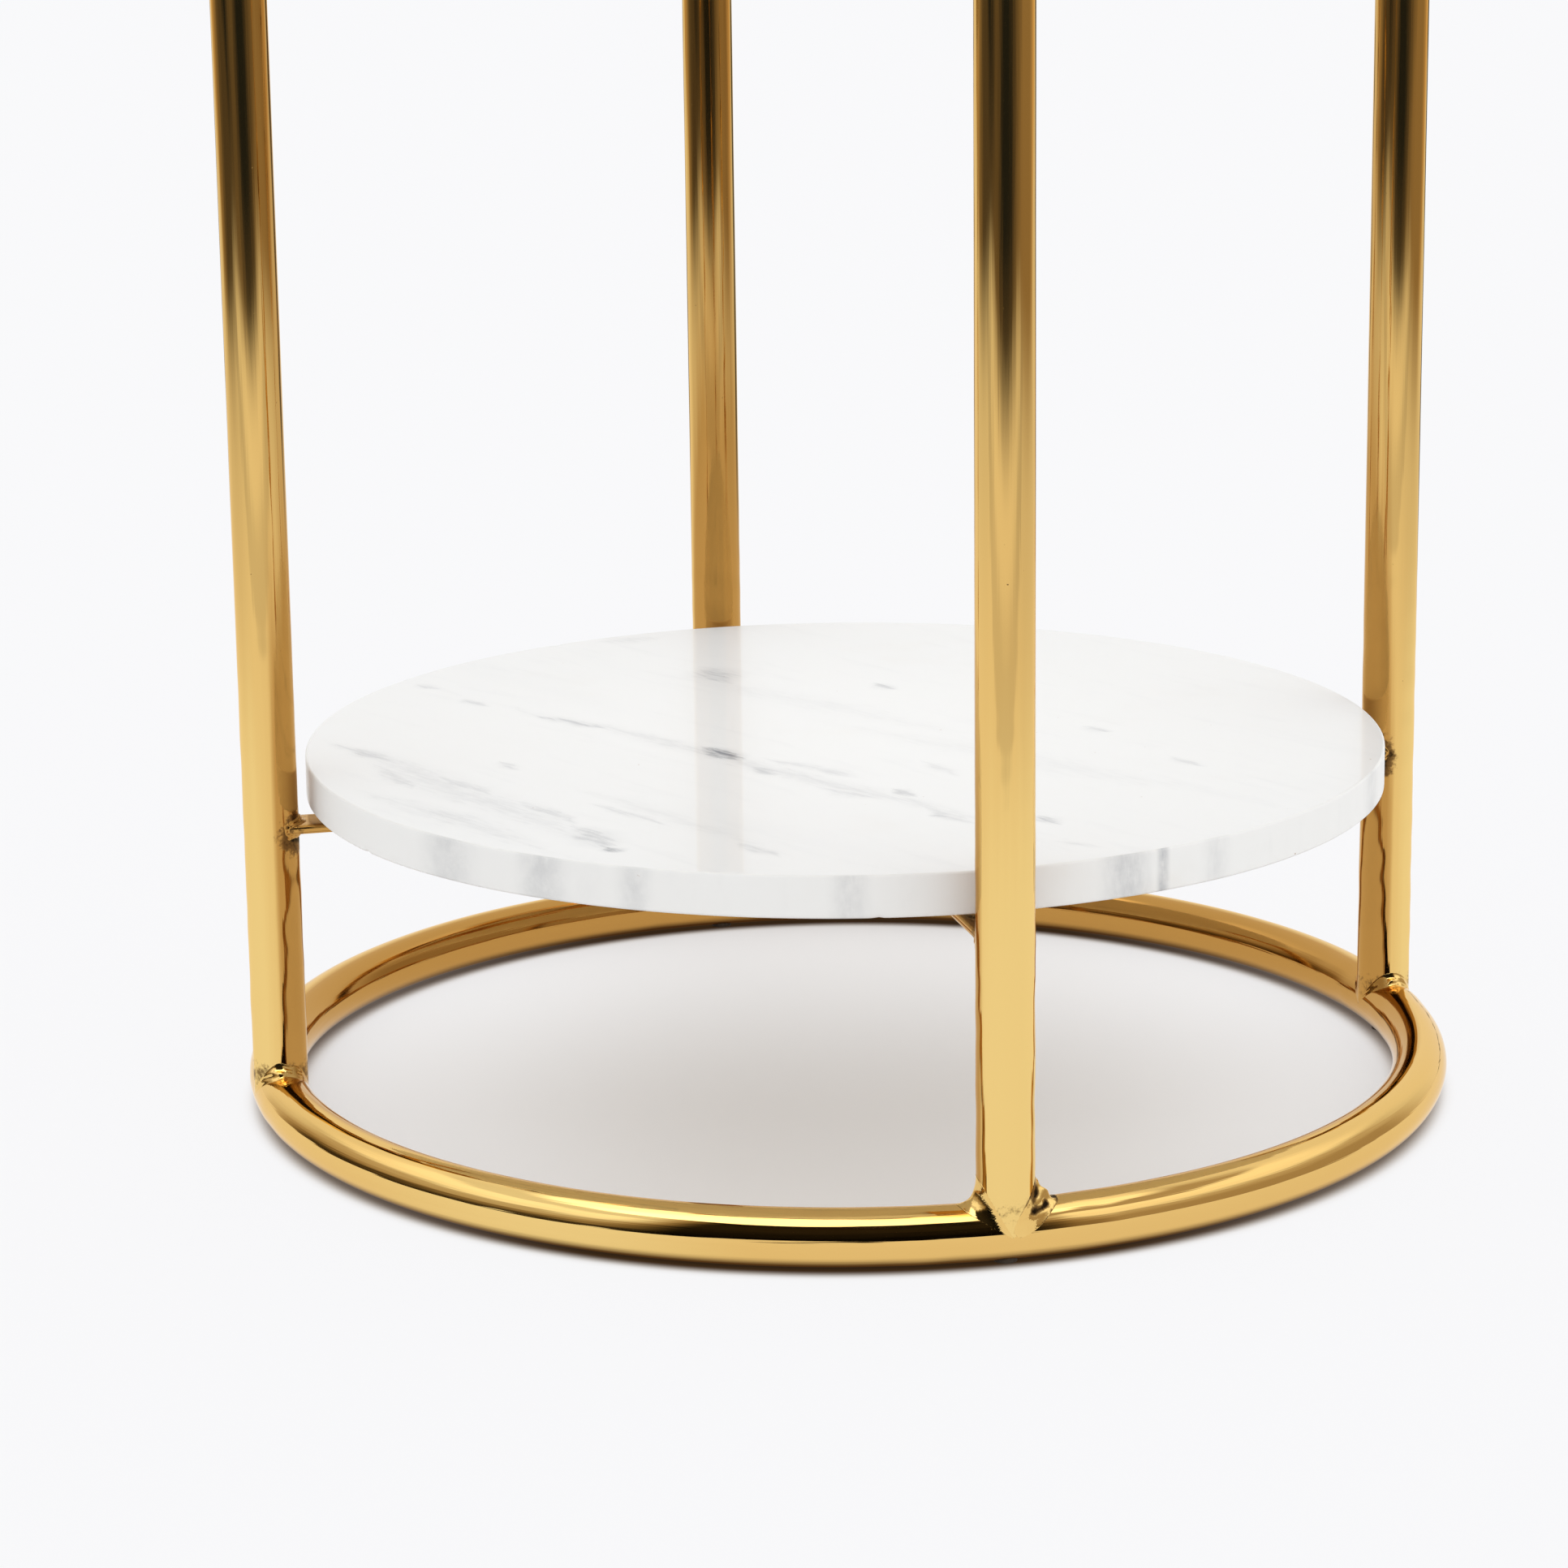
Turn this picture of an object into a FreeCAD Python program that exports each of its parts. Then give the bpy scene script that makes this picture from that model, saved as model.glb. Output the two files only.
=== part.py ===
import FreeCAD, Part
import math
import os

# Two-tier round side table. A welded frame of polished round tube carries two loose stone slabs.
# Lengths are millimetres. +Z is up and the origin is on the floor, at the centre of the base ring.

# Driving dimensions
overall_diameter = 450.0
overall_height = 550.0
tube_diameter = 20.0
slab_thickness = 15.0
shelf_top_height = 132.0

# Small sizes that follow the tube and the slabs
tube_wall = 0.06 * tube_diameter
vent_diameter = 0.3 * tube_diameter
cope_trim = 0.125 * tube_diameter
slab_arris = 0.06 * slab_thickness
shelf_clearance = 0.25 * tube_diameter
lug_width = 0.9 * tube_diameter
lug_thickness = 0.16 * tube_diameter
lug_reach = 2.0 * tube_diameter
lug_corner = 0.2 * tube_diameter

# Pads
glide_thickness = 0.8
glide_diameter = 0.4 * tube_diameter
bumper_thickness = 3.0
bumper_diameter = 0.5 * tube_diameter
bumper_rounding = 0.8
top_pad_thickness = 2.0
top_pad_diameter = 0.6 * tube_diameter

# Welds: rise along the leg, and spread along the piece that it meets. A section's corner is buried by the
# root depth, and a hollow fillet's middle lies at a share of its rise and spread.
crotch_rise = 0.35 * tube_diameter
crotch_spread = 0.25 * tube_diameter
crotch_half_angle = 62.0
crotch_end_share = 0.12
lug_bead_top = 0.12 * tube_diameter
lug_bead_rise = 0.3 * tube_diameter
lug_bead_spread = 0.25 * tube_diameter
weld_hollow = 0.36
weld_root_depth = 0.06 * tube_diameter
crotch_sections = 7

# Sizes that follow from the ones above
tube_radius = tube_diameter / 2
bore_radius = tube_radius - tube_wall
ring_radius = overall_diameter / 2 - tube_radius
base_ring_height = glide_thickness + tube_radius
top_underside = overall_height - slab_thickness
top_ring_height = top_underside - top_pad_thickness - tube_radius
mid_height = (base_ring_height + top_ring_height) / 2
shelf_radius = ring_radius - tube_radius - shelf_clearance
shelf_underside = shelf_top_height - slab_thickness
lug_top = shelf_underside - bumper_thickness
lug_underside = lug_top - lug_thickness
lug_inner_radius = ring_radius - tube_radius - lug_reach
bumper_radius_from_axis = (lug_inner_radius + shelf_radius) / 2

# The legs stand at the four corners of a square
corner_angles = {
    "back_right": 45.0,
    "back_left": 135.0,
    "front_left": 225.0,
    "front_right": 315.0,
}

up = FreeCAD.Vector(0, 0, 1)
axis_foot = FreeCAD.Vector(0, 0, 0)
same_place = 0.001


def at_radius(angle, radius, height):
    """Point at the given angle in degrees and distance from the table's axis."""
    turn = math.radians(angle)
    return FreeCAD.Vector(radius * math.cos(turn), radius * math.sin(turn), height)


def outward(angle):
    """Unit vector that points away from the table's axis."""
    return at_radius(angle, 1.0, 0.0)


def sideways(angle):
    """Unit vector that points along the ring, anticlockwise seen from above."""
    return at_radius(angle + 90.0, 1.0, 0.0)


def ring_body(height):
    """The ring's tube without its bore."""
    return Part.makeTorus(ring_radius, tube_radius, FreeCAD.Vector(0, 0, height))


def leg_body(angle):
    """The leg's tube without its bore, from ring to ring."""
    foot = at_radius(angle, ring_radius, base_ring_height)
    return Part.makeCylinder(tube_radius, top_ring_height - base_ring_height, foot)


def ring(height, leg_side):
    """Bent tube ring, with a vent into every leg; leg_side is +1 where the legs stand on it."""
    bore = Part.makeTorus(ring_radius, bore_radius, FreeCAD.Vector(0, 0, height))
    tube = ring_body(height).cut(bore)
    for angle in corner_angles.values():
        start = at_radius(angle, ring_radius, height)
        vent = Part.makeCylinder(vent_diameter / 2, tube_diameter, start, up * leg_side)
        tube = tube.cut(vent)
    return tube


def leg(angle):
    """Straight tube, coped over the crown of both rings."""
    foot = at_radius(angle, ring_radius, base_ring_height + cope_trim)
    length = top_ring_height - base_ring_height - 2 * cope_trim
    tube = Part.makeCylinder(tube_radius, length, foot)
    tube = tube.cut(Part.makeCylinder(bore_radius, length, foot))
    return tube.cut(ring_body(base_ring_height)).cut(ring_body(top_ring_height))


def slab(radius, underside):
    """Round stone disc with a small arris along both edges."""
    disc = Part.makeCylinder(radius, slab_thickness, FreeCAD.Vector(0, 0, underside))
    rims = [edge for edge in disc.Edges if edge.Closed]
    return disc.makeChamfer(slab_arris, rims)


def lug(angle):
    """Flat strip that reaches in from a leg, coped round the leg, with rounded inner corners."""
    length = ring_radius - lug_inner_radius
    strip = Part.makeBox(length, lug_width, lug_thickness)
    inner = [edge for edge in strip.Edges if is_upright_at_inner_end(edge)]
    strip = strip.makeFillet(lug_corner, inner)
    strip.translate(FreeCAD.Vector(lug_inner_radius, -lug_width / 2, lug_underside))
    strip.rotate(axis_foot, up, angle)
    return strip.cut(leg_body(angle))


def is_upright_at_inner_end(edge):
    """True for the two upright edges of a strip that starts at X = 0."""
    first, last = [vertex.Point for vertex in edge.Vertexes]
    at_inner_end = abs(first.x) < same_place and abs(last.x) < same_place
    return at_inner_end and abs(first.z - last.z) > same_place


def shelf_bumper(angle):
    """Clear bumper between a lug and the lower slab, its upper rim rounded over."""
    centre = at_radius(angle, bumper_radius_from_axis, lug_top)
    disc = Part.makeCylinder(bumper_diameter / 2, bumper_thickness, centre)
    upper_rim = [edge for edge in disc.Edges if edge.Closed and edge.BoundBox.ZMin > lug_top + same_place]
    return disc.makeFillet(bumper_rounding, upper_rim)


def floor_glide(angle):
    """Felt dot under the base ring, hollowed to the tube above it."""
    centre = at_radius(angle, ring_radius, 0)
    dot = Part.makeCylinder(glide_diameter / 2, base_ring_height, centre)
    return dot.cut(ring_body(base_ring_height))


def top_pad(angle):
    """Clear pad on the crown of the top ring, flat under the upper slab."""
    centre = at_radius(angle, ring_radius, top_ring_height)
    dot = Part.makeCylinder(top_pad_diameter / 2, top_underside - top_ring_height, centre)
    return dot.cut(ring_body(top_ring_height))


def crown_above(point):
    """Height of the base ring's upper surface over the given point."""
    off_centre = math.hypot(point.x, point.y) - ring_radius
    return base_ring_height + math.sqrt(tube_radius ** 2 - off_centre ** 2)


def crotch_section(angle, side, turn):
    """Three-sided weld section, turned about the leg by turn degrees from the ring's direction."""
    away = sideways(angle) * (side * math.cos(math.radians(turn)))
    away = away + outward(angle) * math.sin(math.radians(turn))
    axis = at_radius(angle, ring_radius, 0)
    swell = math.cos(math.radians(90.0 * turn / crotch_half_angle))
    size = crotch_end_share + (1 - crotch_end_share) * swell
    on_leg = axis + away * tube_radius
    on_ring = axis + away * (tube_radius + crotch_spread * size)
    inside = axis + away * (tube_radius - weld_root_depth)
    root = crown_above(on_leg)
    corner_root = inside + up * (root - weld_root_depth)
    corner_leg = inside + up * (root + crotch_rise * size)
    corner_ring = on_ring + up * (crown_above(on_ring) - weld_root_depth)
    return Part.makePolygon([corner_root, corner_leg, corner_ring, corner_root])


def crotch_bead(angle, side):
    """Weld bead in one crotch between a leg and the base ring."""
    last = crotch_sections - 1
    turns = [crotch_half_angle * (2 * step / last - 1) for step in range(crotch_sections)]
    sections = [crotch_section(angle, side, turn) for turn in turns]
    bead = Part.makeLoft(sections, True, False)
    return bead.cut(leg_body(angle)).cut(ring_body(base_ring_height))


def base_weld(angle):
    """The two crotch beads where a leg stands on the base ring."""
    return Part.makeCompound([crotch_bead(angle, 1), crotch_bead(angle, -1)])


def top_weld(angle):
    """The same two beads, mirrored to the underside of the top ring."""
    return base_weld(angle).mirror(FreeCAD.Vector(0, 0, mid_height), up)


def lug_fillet(angle, seat_height, rise, spread):
    """Weld fillet round a leg: rise up or down the leg, spread over the lug, inside the lug's width."""
    axis = at_radius(angle, ring_radius, seat_height)
    inward = outward(angle) * -1
    corner = axis + inward * tube_radius
    tip = corner + up * rise
    toe = corner + inward * spread
    hollow = corner + up * (rise * weld_hollow) + inward * (spread * weld_hollow)
    edges = [
        Part.makeLine(corner, tip),
        Part.Arc(tip, hollow, toe).toShape(),
        Part.makeLine(toe, corner),
    ]
    profile = Part.Face(Part.Wire(edges))
    half_turn = math.degrees(math.asin(lug_width / (tube_diameter + 2 * spread)))
    profile.rotate(axis, up, -half_turn)
    return profile.revolve(axis, up, 2 * half_turn)


def lug_weld(angle):
    """The fillets above and below a lug."""
    upper = lug_fillet(angle, lug_top, lug_bead_top, lug_bead_top)
    lower = lug_fillet(angle, lug_underside, -lug_bead_rise, lug_bead_spread)
    return Part.makeCompound([upper, lower])


def save(node, shape):
    shape.exportStep("parts/" + node + ".step")


os.makedirs("parts", exist_ok=True)
save("base_ring", ring(base_ring_height, 1))
save("top_ring", ring(top_ring_height, -1))
save("shelf_slab", slab(shelf_radius, shelf_underside))
save("top_slab", slab(overall_diameter / 2, top_underside))
for corner, corner_angle in corner_angles.items():
    save("leg_" + corner, leg(corner_angle))
    save("lug_" + corner, lug(corner_angle))
    save("base_weld_" + corner, base_weld(corner_angle))
    save("top_weld_" + corner, top_weld(corner_angle))
    save("lug_weld_" + corner, lug_weld(corner_angle))
    save("shelf_bumper_" + corner, shelf_bumper(corner_angle))
    save("floor_glide_" + corner, floor_glide(corner_angle))
    save("top_pad_" + corner, top_pad(corner_angle))
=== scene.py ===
import math

import bpy
import numpy as np
from mathutils import Matrix, Vector


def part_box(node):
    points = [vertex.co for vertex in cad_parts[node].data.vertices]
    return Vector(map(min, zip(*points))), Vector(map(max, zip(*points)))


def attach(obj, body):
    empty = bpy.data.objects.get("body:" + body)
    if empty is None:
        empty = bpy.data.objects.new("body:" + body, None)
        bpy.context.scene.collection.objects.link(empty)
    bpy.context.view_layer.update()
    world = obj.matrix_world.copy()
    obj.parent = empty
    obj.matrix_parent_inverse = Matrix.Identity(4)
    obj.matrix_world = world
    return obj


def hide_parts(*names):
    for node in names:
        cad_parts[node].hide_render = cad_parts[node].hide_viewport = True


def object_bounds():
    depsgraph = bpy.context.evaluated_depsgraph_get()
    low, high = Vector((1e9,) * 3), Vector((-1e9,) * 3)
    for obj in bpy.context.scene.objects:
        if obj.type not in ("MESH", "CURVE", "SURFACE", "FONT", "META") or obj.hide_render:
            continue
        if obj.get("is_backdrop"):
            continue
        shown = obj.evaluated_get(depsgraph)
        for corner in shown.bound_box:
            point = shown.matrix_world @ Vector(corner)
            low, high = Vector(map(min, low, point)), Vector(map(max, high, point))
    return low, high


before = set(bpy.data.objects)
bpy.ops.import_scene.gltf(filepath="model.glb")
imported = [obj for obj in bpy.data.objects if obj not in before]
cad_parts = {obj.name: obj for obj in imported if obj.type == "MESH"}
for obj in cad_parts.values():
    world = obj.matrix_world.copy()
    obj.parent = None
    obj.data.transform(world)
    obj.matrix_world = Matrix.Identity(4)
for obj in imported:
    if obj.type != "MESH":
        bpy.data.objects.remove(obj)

# Two-tier round side table: a welded frame of polished gold tube with two loose stone slabs.
# Lengths are metres. +Z is up and the origin is on the floor, at the centre of the base ring.

cad_low, cad_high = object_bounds()

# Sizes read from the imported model
base_ring_low, base_ring_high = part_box("base_ring")
top_ring_low, top_ring_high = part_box("top_ring")
shelf_low, shelf_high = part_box("shelf_slab")
top_low, top_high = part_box("top_slab")
lug_low, lug_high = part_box("lug_back_right")
tube_radius = (base_ring_high.z - base_ring_low.z) / 2
ring_radius = base_ring_high.x - tube_radius
base_ring_height = (base_ring_low.z + base_ring_high.z) / 2
top_ring_height = (top_ring_low.z + top_ring_high.z) / 2
lug_top = lug_high.z
lug_underside = lug_low.z

# Sizes of the lugs and the stone's arris
millimetre = 0.001
lug_half_width = 0.9 * tube_radius
lug_inner_radius = ring_radius - 5.0 * tube_radius
lug_outer_radius = ring_radius - 0.3 * tube_radius
lug_corner = 0.4 * tube_radius
lug_edge_rounding = 1.2 * millimetre
arris = 0.9 * millimetre

# Size of the collar weld at the sides of a lug, and its rise along the leg and spread over the lug's top
collar_side = 2.2 * millimetre
collar_top_rise = 4.0 * millimetre
collar_top_spread = 3.2 * millimetre

# The legs stand at the four corners of a square, in degrees
corner_angles = {
    "back_right": 45.0,
    "back_left": 135.0,
    "front_left": 225.0,
    "front_right": 315.0,
}

# How strongly each leg is tarnished by its lug and at its ends, and how far round its inner side the painted
# shade reaches, in the order of the corners
lug_tarnish = [1.30, 0.70, 0.95, 0.55]
foot_tarnish = [0.42, 0.45, 0.55, 0.34]
inner_shade_reach = [0.12, 0.25, 0.32, 0.68]

# Each foot's two beads: rise and spread in millimetres, fullness, lump in millimetres, and fade to its ends
foot_beads = {
    "back_right": [(6.0, 5.5, 0.50, 0.40, 2.0), (4.6, 4.2, 0.60, 0.22, 2.0)],
    "back_left": [(6.5, 5.5, 0.35, 0.25, 1.5), (6.5, 5.5, 0.35, 0.25, 1.5)],
    "front_left": [(4.8, 4.6, 0.60, 0.30, 2.0), (6.0, 5.0, 0.45, 0.30, 2.0)],
    "front_right": [(9.0, 8.0, 0.30, 0.75, 0.8), (10.0, 7.0, 0.00, 0.03, 1.9)],
}

# Each lug's collar weld: rise and spread below the lug, and lump, in millimetres
lug_collars = {
    "back_right": (5.0, 4.5, 0.35),
    "back_left": (6.0, 5.0, 0.35),
    "front_left": (4.5, 4.0, 0.30),
    "front_right": (11.0, 9.0, 0.35),
}

# How finely the surfaces are divided
tube_columns = 72
leg_rows = 420
ring_rows = 720
slab_columns = 720
lug_rows = 60
lug_columns = 64
weld_rows = 97
weld_columns = 25
collar_rows = 160

# Camera: its angles in radians, and its lens and sensor in millimetres
camera_azimuth = math.radians(30.837)
camera_distance = 1.7036
camera_height = 0.5406
camera_yaw = -0.0133
camera_pitch = 0.2457
camera_roll = -0.0124
camera_lens = 107.93
camera_sensor = 36.0

# Colours, linear
gold = (0.850, 0.562, 0.188, 1.0)
gold_edge = (1.000, 0.900, 0.720, 1.0)
deep_gold = (0.790, 0.500, 0.160, 1.0)
# painted reflection: a pale gold laid on outward faces low down, standing in for the white floor they mirror
pale_reflection_gold = (0.930, 0.682, 0.255, 1.0)
# painted shade: a brown laid on inner sides and under the slabs, standing in for the darker things they
# mirror
inner_shade_brown = (0.510, 0.260, 0.060, 1.0)
tarnish_brown = (0.130, 0.060, 0.018, 1.0)
burnt_black = (0.020, 0.012, 0.006, 1.0)
stone_white = (0.932, 0.941, 0.924, 1.0)
stone_grey = (0.560, 0.575, 0.600, 1.0)
stone_vein = (0.260, 0.275, 0.300, 1.0)
# warm patches in the stone, and painted shade that darkens and warms the upright edge face
warm_patch_and_edge_shade = (0.800, 0.745, 0.655, 1.0)
stone_rust = (0.360, 0.200, 0.090, 1.0)
rubber_clear = (0.860, 0.870, 0.860, 1.0)
rubber_dust = (0.700, 0.690, 0.660, 1.0)
felt_dark = (0.045, 0.034, 0.024, 1.0)
felt_light = (0.100, 0.078, 0.056, 1.0)
# painted shadow: the dark brown of the contact shadow painted on the floor under the ring
contact_shadow_brown = (0.110, 0.062, 0.028, 1.0)
# painted light: a warm tint on the floor inside the ring, standing in for light bounced off the gold
bounce_light_warm = (0.860, 0.805, 0.735, 1.0)
backdrop_white = (0.955, 0.955, 0.968, 1.0)
room_brown = (1.000, 0.740, 0.450, 1.0)
room_black = (0.016, 0.019, 0.024, 1.0)
lamp_brown = (1.000, 0.730, 0.420, 1.0)
no_light = (0.000, 0.000, 0.000, 1.0)


# Mesh helpers


def shell(rows, fields, ends_meet=False):
    """Closed skin over rows of points. Each row runs round and closes on itself; the first and last rows
    either join each other or are each closed by a fan to their middle point. Faces that point inwards, where
    the enclosed volume comes out negative, are turned round."""
    count, columns, _ = rows.shape
    points = rows.reshape(-1, 3)
    values = {name: field.reshape(count * columns, -1) for name, field in fields.items()}
    strips = count if ends_meet else count - 1
    row, column = np.meshgrid(np.arange(strips), np.arange(columns), indexing="ij")
    next_row = (row + 1) % count
    next_column = (column + 1) % columns
    corners = [
        row * columns + column,
        next_row * columns + column,
        next_row * columns + next_column,
        row * columns + next_column,
    ]
    quads = np.stack(corners, axis=-1).reshape(-1, 4)
    fans = np.zeros((0, 3), dtype=int)
    if not ends_meet:
        around = np.arange(columns)
        following = (around + 1) % columns
        last = (count - 1) * columns
        first_middle = np.full(columns, count * columns)
        first_fan = np.stack([around, following, first_middle], axis=-1)
        last_fan = np.stack([last + following, last + around, first_middle + 1], axis=-1)
        fans = np.vstack([first_fan, last_fan])
        points = np.vstack([points, rows[[0, -1]].mean(axis=1)])
        values = {name: np.vstack([field, field[:1], field[-1:]]) for name, field in values.items()}
    triangles = np.vstack([quads[:, [0, 1, 2]], quads[:, [0, 2, 3]], fans])
    first, second, third = (points[triangles[:, corner]] for corner in range(3))
    if np.sum(first * np.cross(second, third)) < 0:
        quads = quads[:, ::-1]
        fans = fans[:, ::-1]
    return points, quads, fans, values


def make_piece(name, shells, material, body, replaced):
    """One smooth mesh object from one or more shells, riding on a body in place of its CAD nodes."""
    points = np.vstack([part[0] for part in shells])
    starts = np.cumsum([0] + [len(part[0]) for part in shells[:-1]])
    faces = []
    for start, part in zip(starts, shells):
        faces += (part[1] + start).tolist()
        faces += (part[2] + start).tolist()
    mesh = bpy.data.meshes.new(name)
    mesh.from_pydata(points.tolist(), [], faces)
    for field in shells[0][3]:
        values = np.vstack([part[3][field] for part in shells])
        is_vector = values.shape[1] == 3
        attribute = mesh.attributes.new(field, "FLOAT_VECTOR" if is_vector else "FLOAT", "POINT")
        attribute.data.foreach_set("vector" if is_vector else "value", values.astype(np.float32).ravel())
    mesh.polygons.foreach_set("use_smooth", np.ones(len(mesh.polygons), dtype=bool))
    mesh.materials.append(material)
    mesh.update()
    piece = bpy.data.objects.new(name, mesh)
    bpy.context.scene.collection.objects.link(piece)
    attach(piece, body)
    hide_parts(*replaced)
    return piece


def ripple(seed, along, around, longest, shortest, lap=None, waves=7):
    """Smooth random unevenness of about unit size: a sum of cosines of the distance along and the angle
    round, with random lengths, lobes and phases. Where a lap is given, each length divides it evenly."""
    draw = np.random.default_rng(seed)
    total = 0.0 * along + 0.0 * around
    for _ in range(waves):
        length = draw.uniform(shortest, longest)
        if lap:
            length = lap / round(lap / length)
        lobes = draw.integers(-3, 4)
        phase = draw.uniform(0, math.tau)
        total = total + np.cos(math.tau * along / length + lobes * around + phase)
    return total / math.sqrt(waves)


def hump(distance, width):
    """Bell curve of the distance: 1 at zero, fading out over the width."""
    return np.exp(-((distance / width) ** 2))


def fading(distance, length):
    """Smooth switch: 1 well below zero distance and 0 well above it, changing over the length."""
    return 1 / (1 + np.exp(distance / length))


def corner_points(angle, out, sidelong, height):
    """Points given by their distance outward from the table's axis, along the ring at a corner, and up."""
    turn = math.radians(angle)
    x = out * math.cos(turn) - sidelong * math.sin(turn)
    y = out * math.sin(turn) + sidelong * math.cos(turn)
    return np.stack(np.broadcast_arrays(x, y, height), axis=-1)


# Shapes of the frame

# Share to which a pattern's coordinate along a tube is squeezed, so that the pattern is drawn out
brush_stretch = 0.02

# Heights of the waves from drawing the tube and from polishing by hand, and the lump of a rough weld
fine_wave = 0.018 * millimetre
hand_wave = 0.075 * millimetre
rough_lump = 0.4 * millimetre

# Zones of a leg: where hand polishing and the painted pale reflection end above the floor, how deep the
# polishing reaches below the top ring, and the length over which each fades
polish_top = 0.15
polish_fade = 0.02
head_depth = 0.05
head_fade = 0.01
pale_reflection_top = 0.17
pale_reflection_fade = 0.03

# Reach of the tarnish along a leg, from its lug and from its ends
lug_tarnish_reach = 0.009
end_tarnish_reach = 0.007


def leg_shell(index, angle):
    """Tube from ring centre to ring centre: points at r cos a, r sin a round an upright axis. The radius has
    a slow draw wave, and a stronger hand-polished wave low down and near the top joint. The grain field is
    the point itself with its height squeezed, so that a pattern on it is drawn out along the leg."""
    height = np.linspace(base_ring_height, top_ring_height, leg_rows)[:, None]
    around = np.linspace(0, math.tau, tube_columns, endpoint=False)[None, :]
    facing_out = np.cos(around)
    from_foot = height - base_ring_height
    from_head = top_ring_height - height
    ends = np.clip((from_foot - tube_radius) / (2 * tube_radius), 0, 1)
    ends = ends * np.clip((from_head - tube_radius) / (2 * tube_radius), 0, 1)
    polished = fading(height - polish_top, polish_fade) + fading(from_head - head_depth, head_fade)
    wave = fine_wave * ripple(10 + index, height, around, 0.16, 0.06)
    wave = wave + hand_wave * polished * ripple(20 + index, height, around, 0.045, 0.012, waves=10)
    radius = tube_radius + wave * ends
    across = radius * facing_out
    sidelong = radius * np.sin(around)
    by_lug = hump(height - lug_underside, lug_tarnish_reach) * np.clip(0.30 - facing_out, 0, 1)
    by_foot = hump(from_foot - 0.9 * tube_radius, end_tarnish_reach)
    by_head = hump(from_head - 0.9 * tube_radius, end_tarnish_reach)
    by_end = np.maximum(by_foot, by_head)
    low_down = fading(height - pale_reflection_top, pale_reflection_fade)
    fields = {
        "grain": np.stack([across, sidelong, brush_stretch * height + 0 * around], axis=-1),
        "grain_fourth": 0.5 * index + 0 * wave,
        "tarnish": np.maximum(lug_tarnish[index] * by_lug, foot_tarnish[index] * by_end),
        # painted shade on the side facing the table's middle, stronger low down, standing in for the darker
        # things it mirrors
        "inside": np.clip(inner_shade_reach[index] - facing_out, 0, 1) * (0.30 + 0.70 * low_down),
        # painted pale reflection on the outer side low down, standing in for the white floor it mirrors
        "gleam": np.clip(0.3 + facing_out, 0, 1) * low_down,
    }
    return shell(corner_points(angle, ring_radius + across, sidelong, height), fields)


def ring_shell(seed, height):
    """Bent tube: points at r cos a outward and r sin a up from a circle. The wave grows beside the legs,
    where the joints were ground by hand. The grain field squeezes the long way round, as on the legs."""
    turn = np.linspace(0, math.tau, ring_rows, endpoint=False)[:, None]
    around = np.linspace(0, math.tau, tube_columns, endpoint=False)[None, :]
    facing_out = np.cos(around)
    from_leg = np.sin(2 * turn) ** 2 - 1
    by_leg = hump(from_leg, 0.12) - hump(from_leg, 0.02)
    lap = math.tau * ring_radius
    wave = fine_wave * ripple(seed, turn * ring_radius, around, 0.20, 0.07, lap)
    wave = wave + hand_wave * by_leg * ripple(seed + 1, turn * ring_radius, around, 0.05, 0.02, lap)
    radius = tube_radius + wave
    out = ring_radius + radius * facing_out
    up = height + radius * np.sin(around)
    squeezed = brush_stretch * ring_radius + 0 * around
    grain = [squeezed * np.cos(turn), squeezed * np.sin(turn), radius * facing_out]
    patches = np.clip(ripple(seed + 2, turn, 0 * around, 3.0, 1.0), 0, 1)
    fields = {
        "grain": np.stack(grain, axis=-1),
        "grain_fourth": radius * np.sin(around) + seed,
        "tarnish": 0.5 * hump(from_leg, 0.02) * np.clip(np.sin(around), 0, 1),
        # painted shade on the inner half of the ring, standing in for the darker floor it mirrors
        "inside": np.clip(0.25 - facing_out, 0, 1) + 0 * turn,
        # painted pale reflection in patches on the outer side of the ring
        "gleam": 0.7 * np.clip(0.3 + facing_out, 0, 1) * patches,
    }
    rows = np.stack([out * np.cos(turn), out * np.sin(turn), up], axis=-1)
    return shell(rows, fields, ends_meet=True)


def lug_section(around, half_width, half_thickness):
    """Rounded rectangle: a small circle carried round a smaller rectangle. Returns its width and thickness
    coordinates at the angles round the circle."""
    flat = 8.0
    wide = half_width * np.clip(flat * np.cos(around), -1, 1) + lug_edge_rounding * np.cos(around)
    thick = half_thickness * np.clip(flat * np.sin(around), -1, 1) + lug_edge_rounding * np.sin(around)
    return wide, thick


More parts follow.
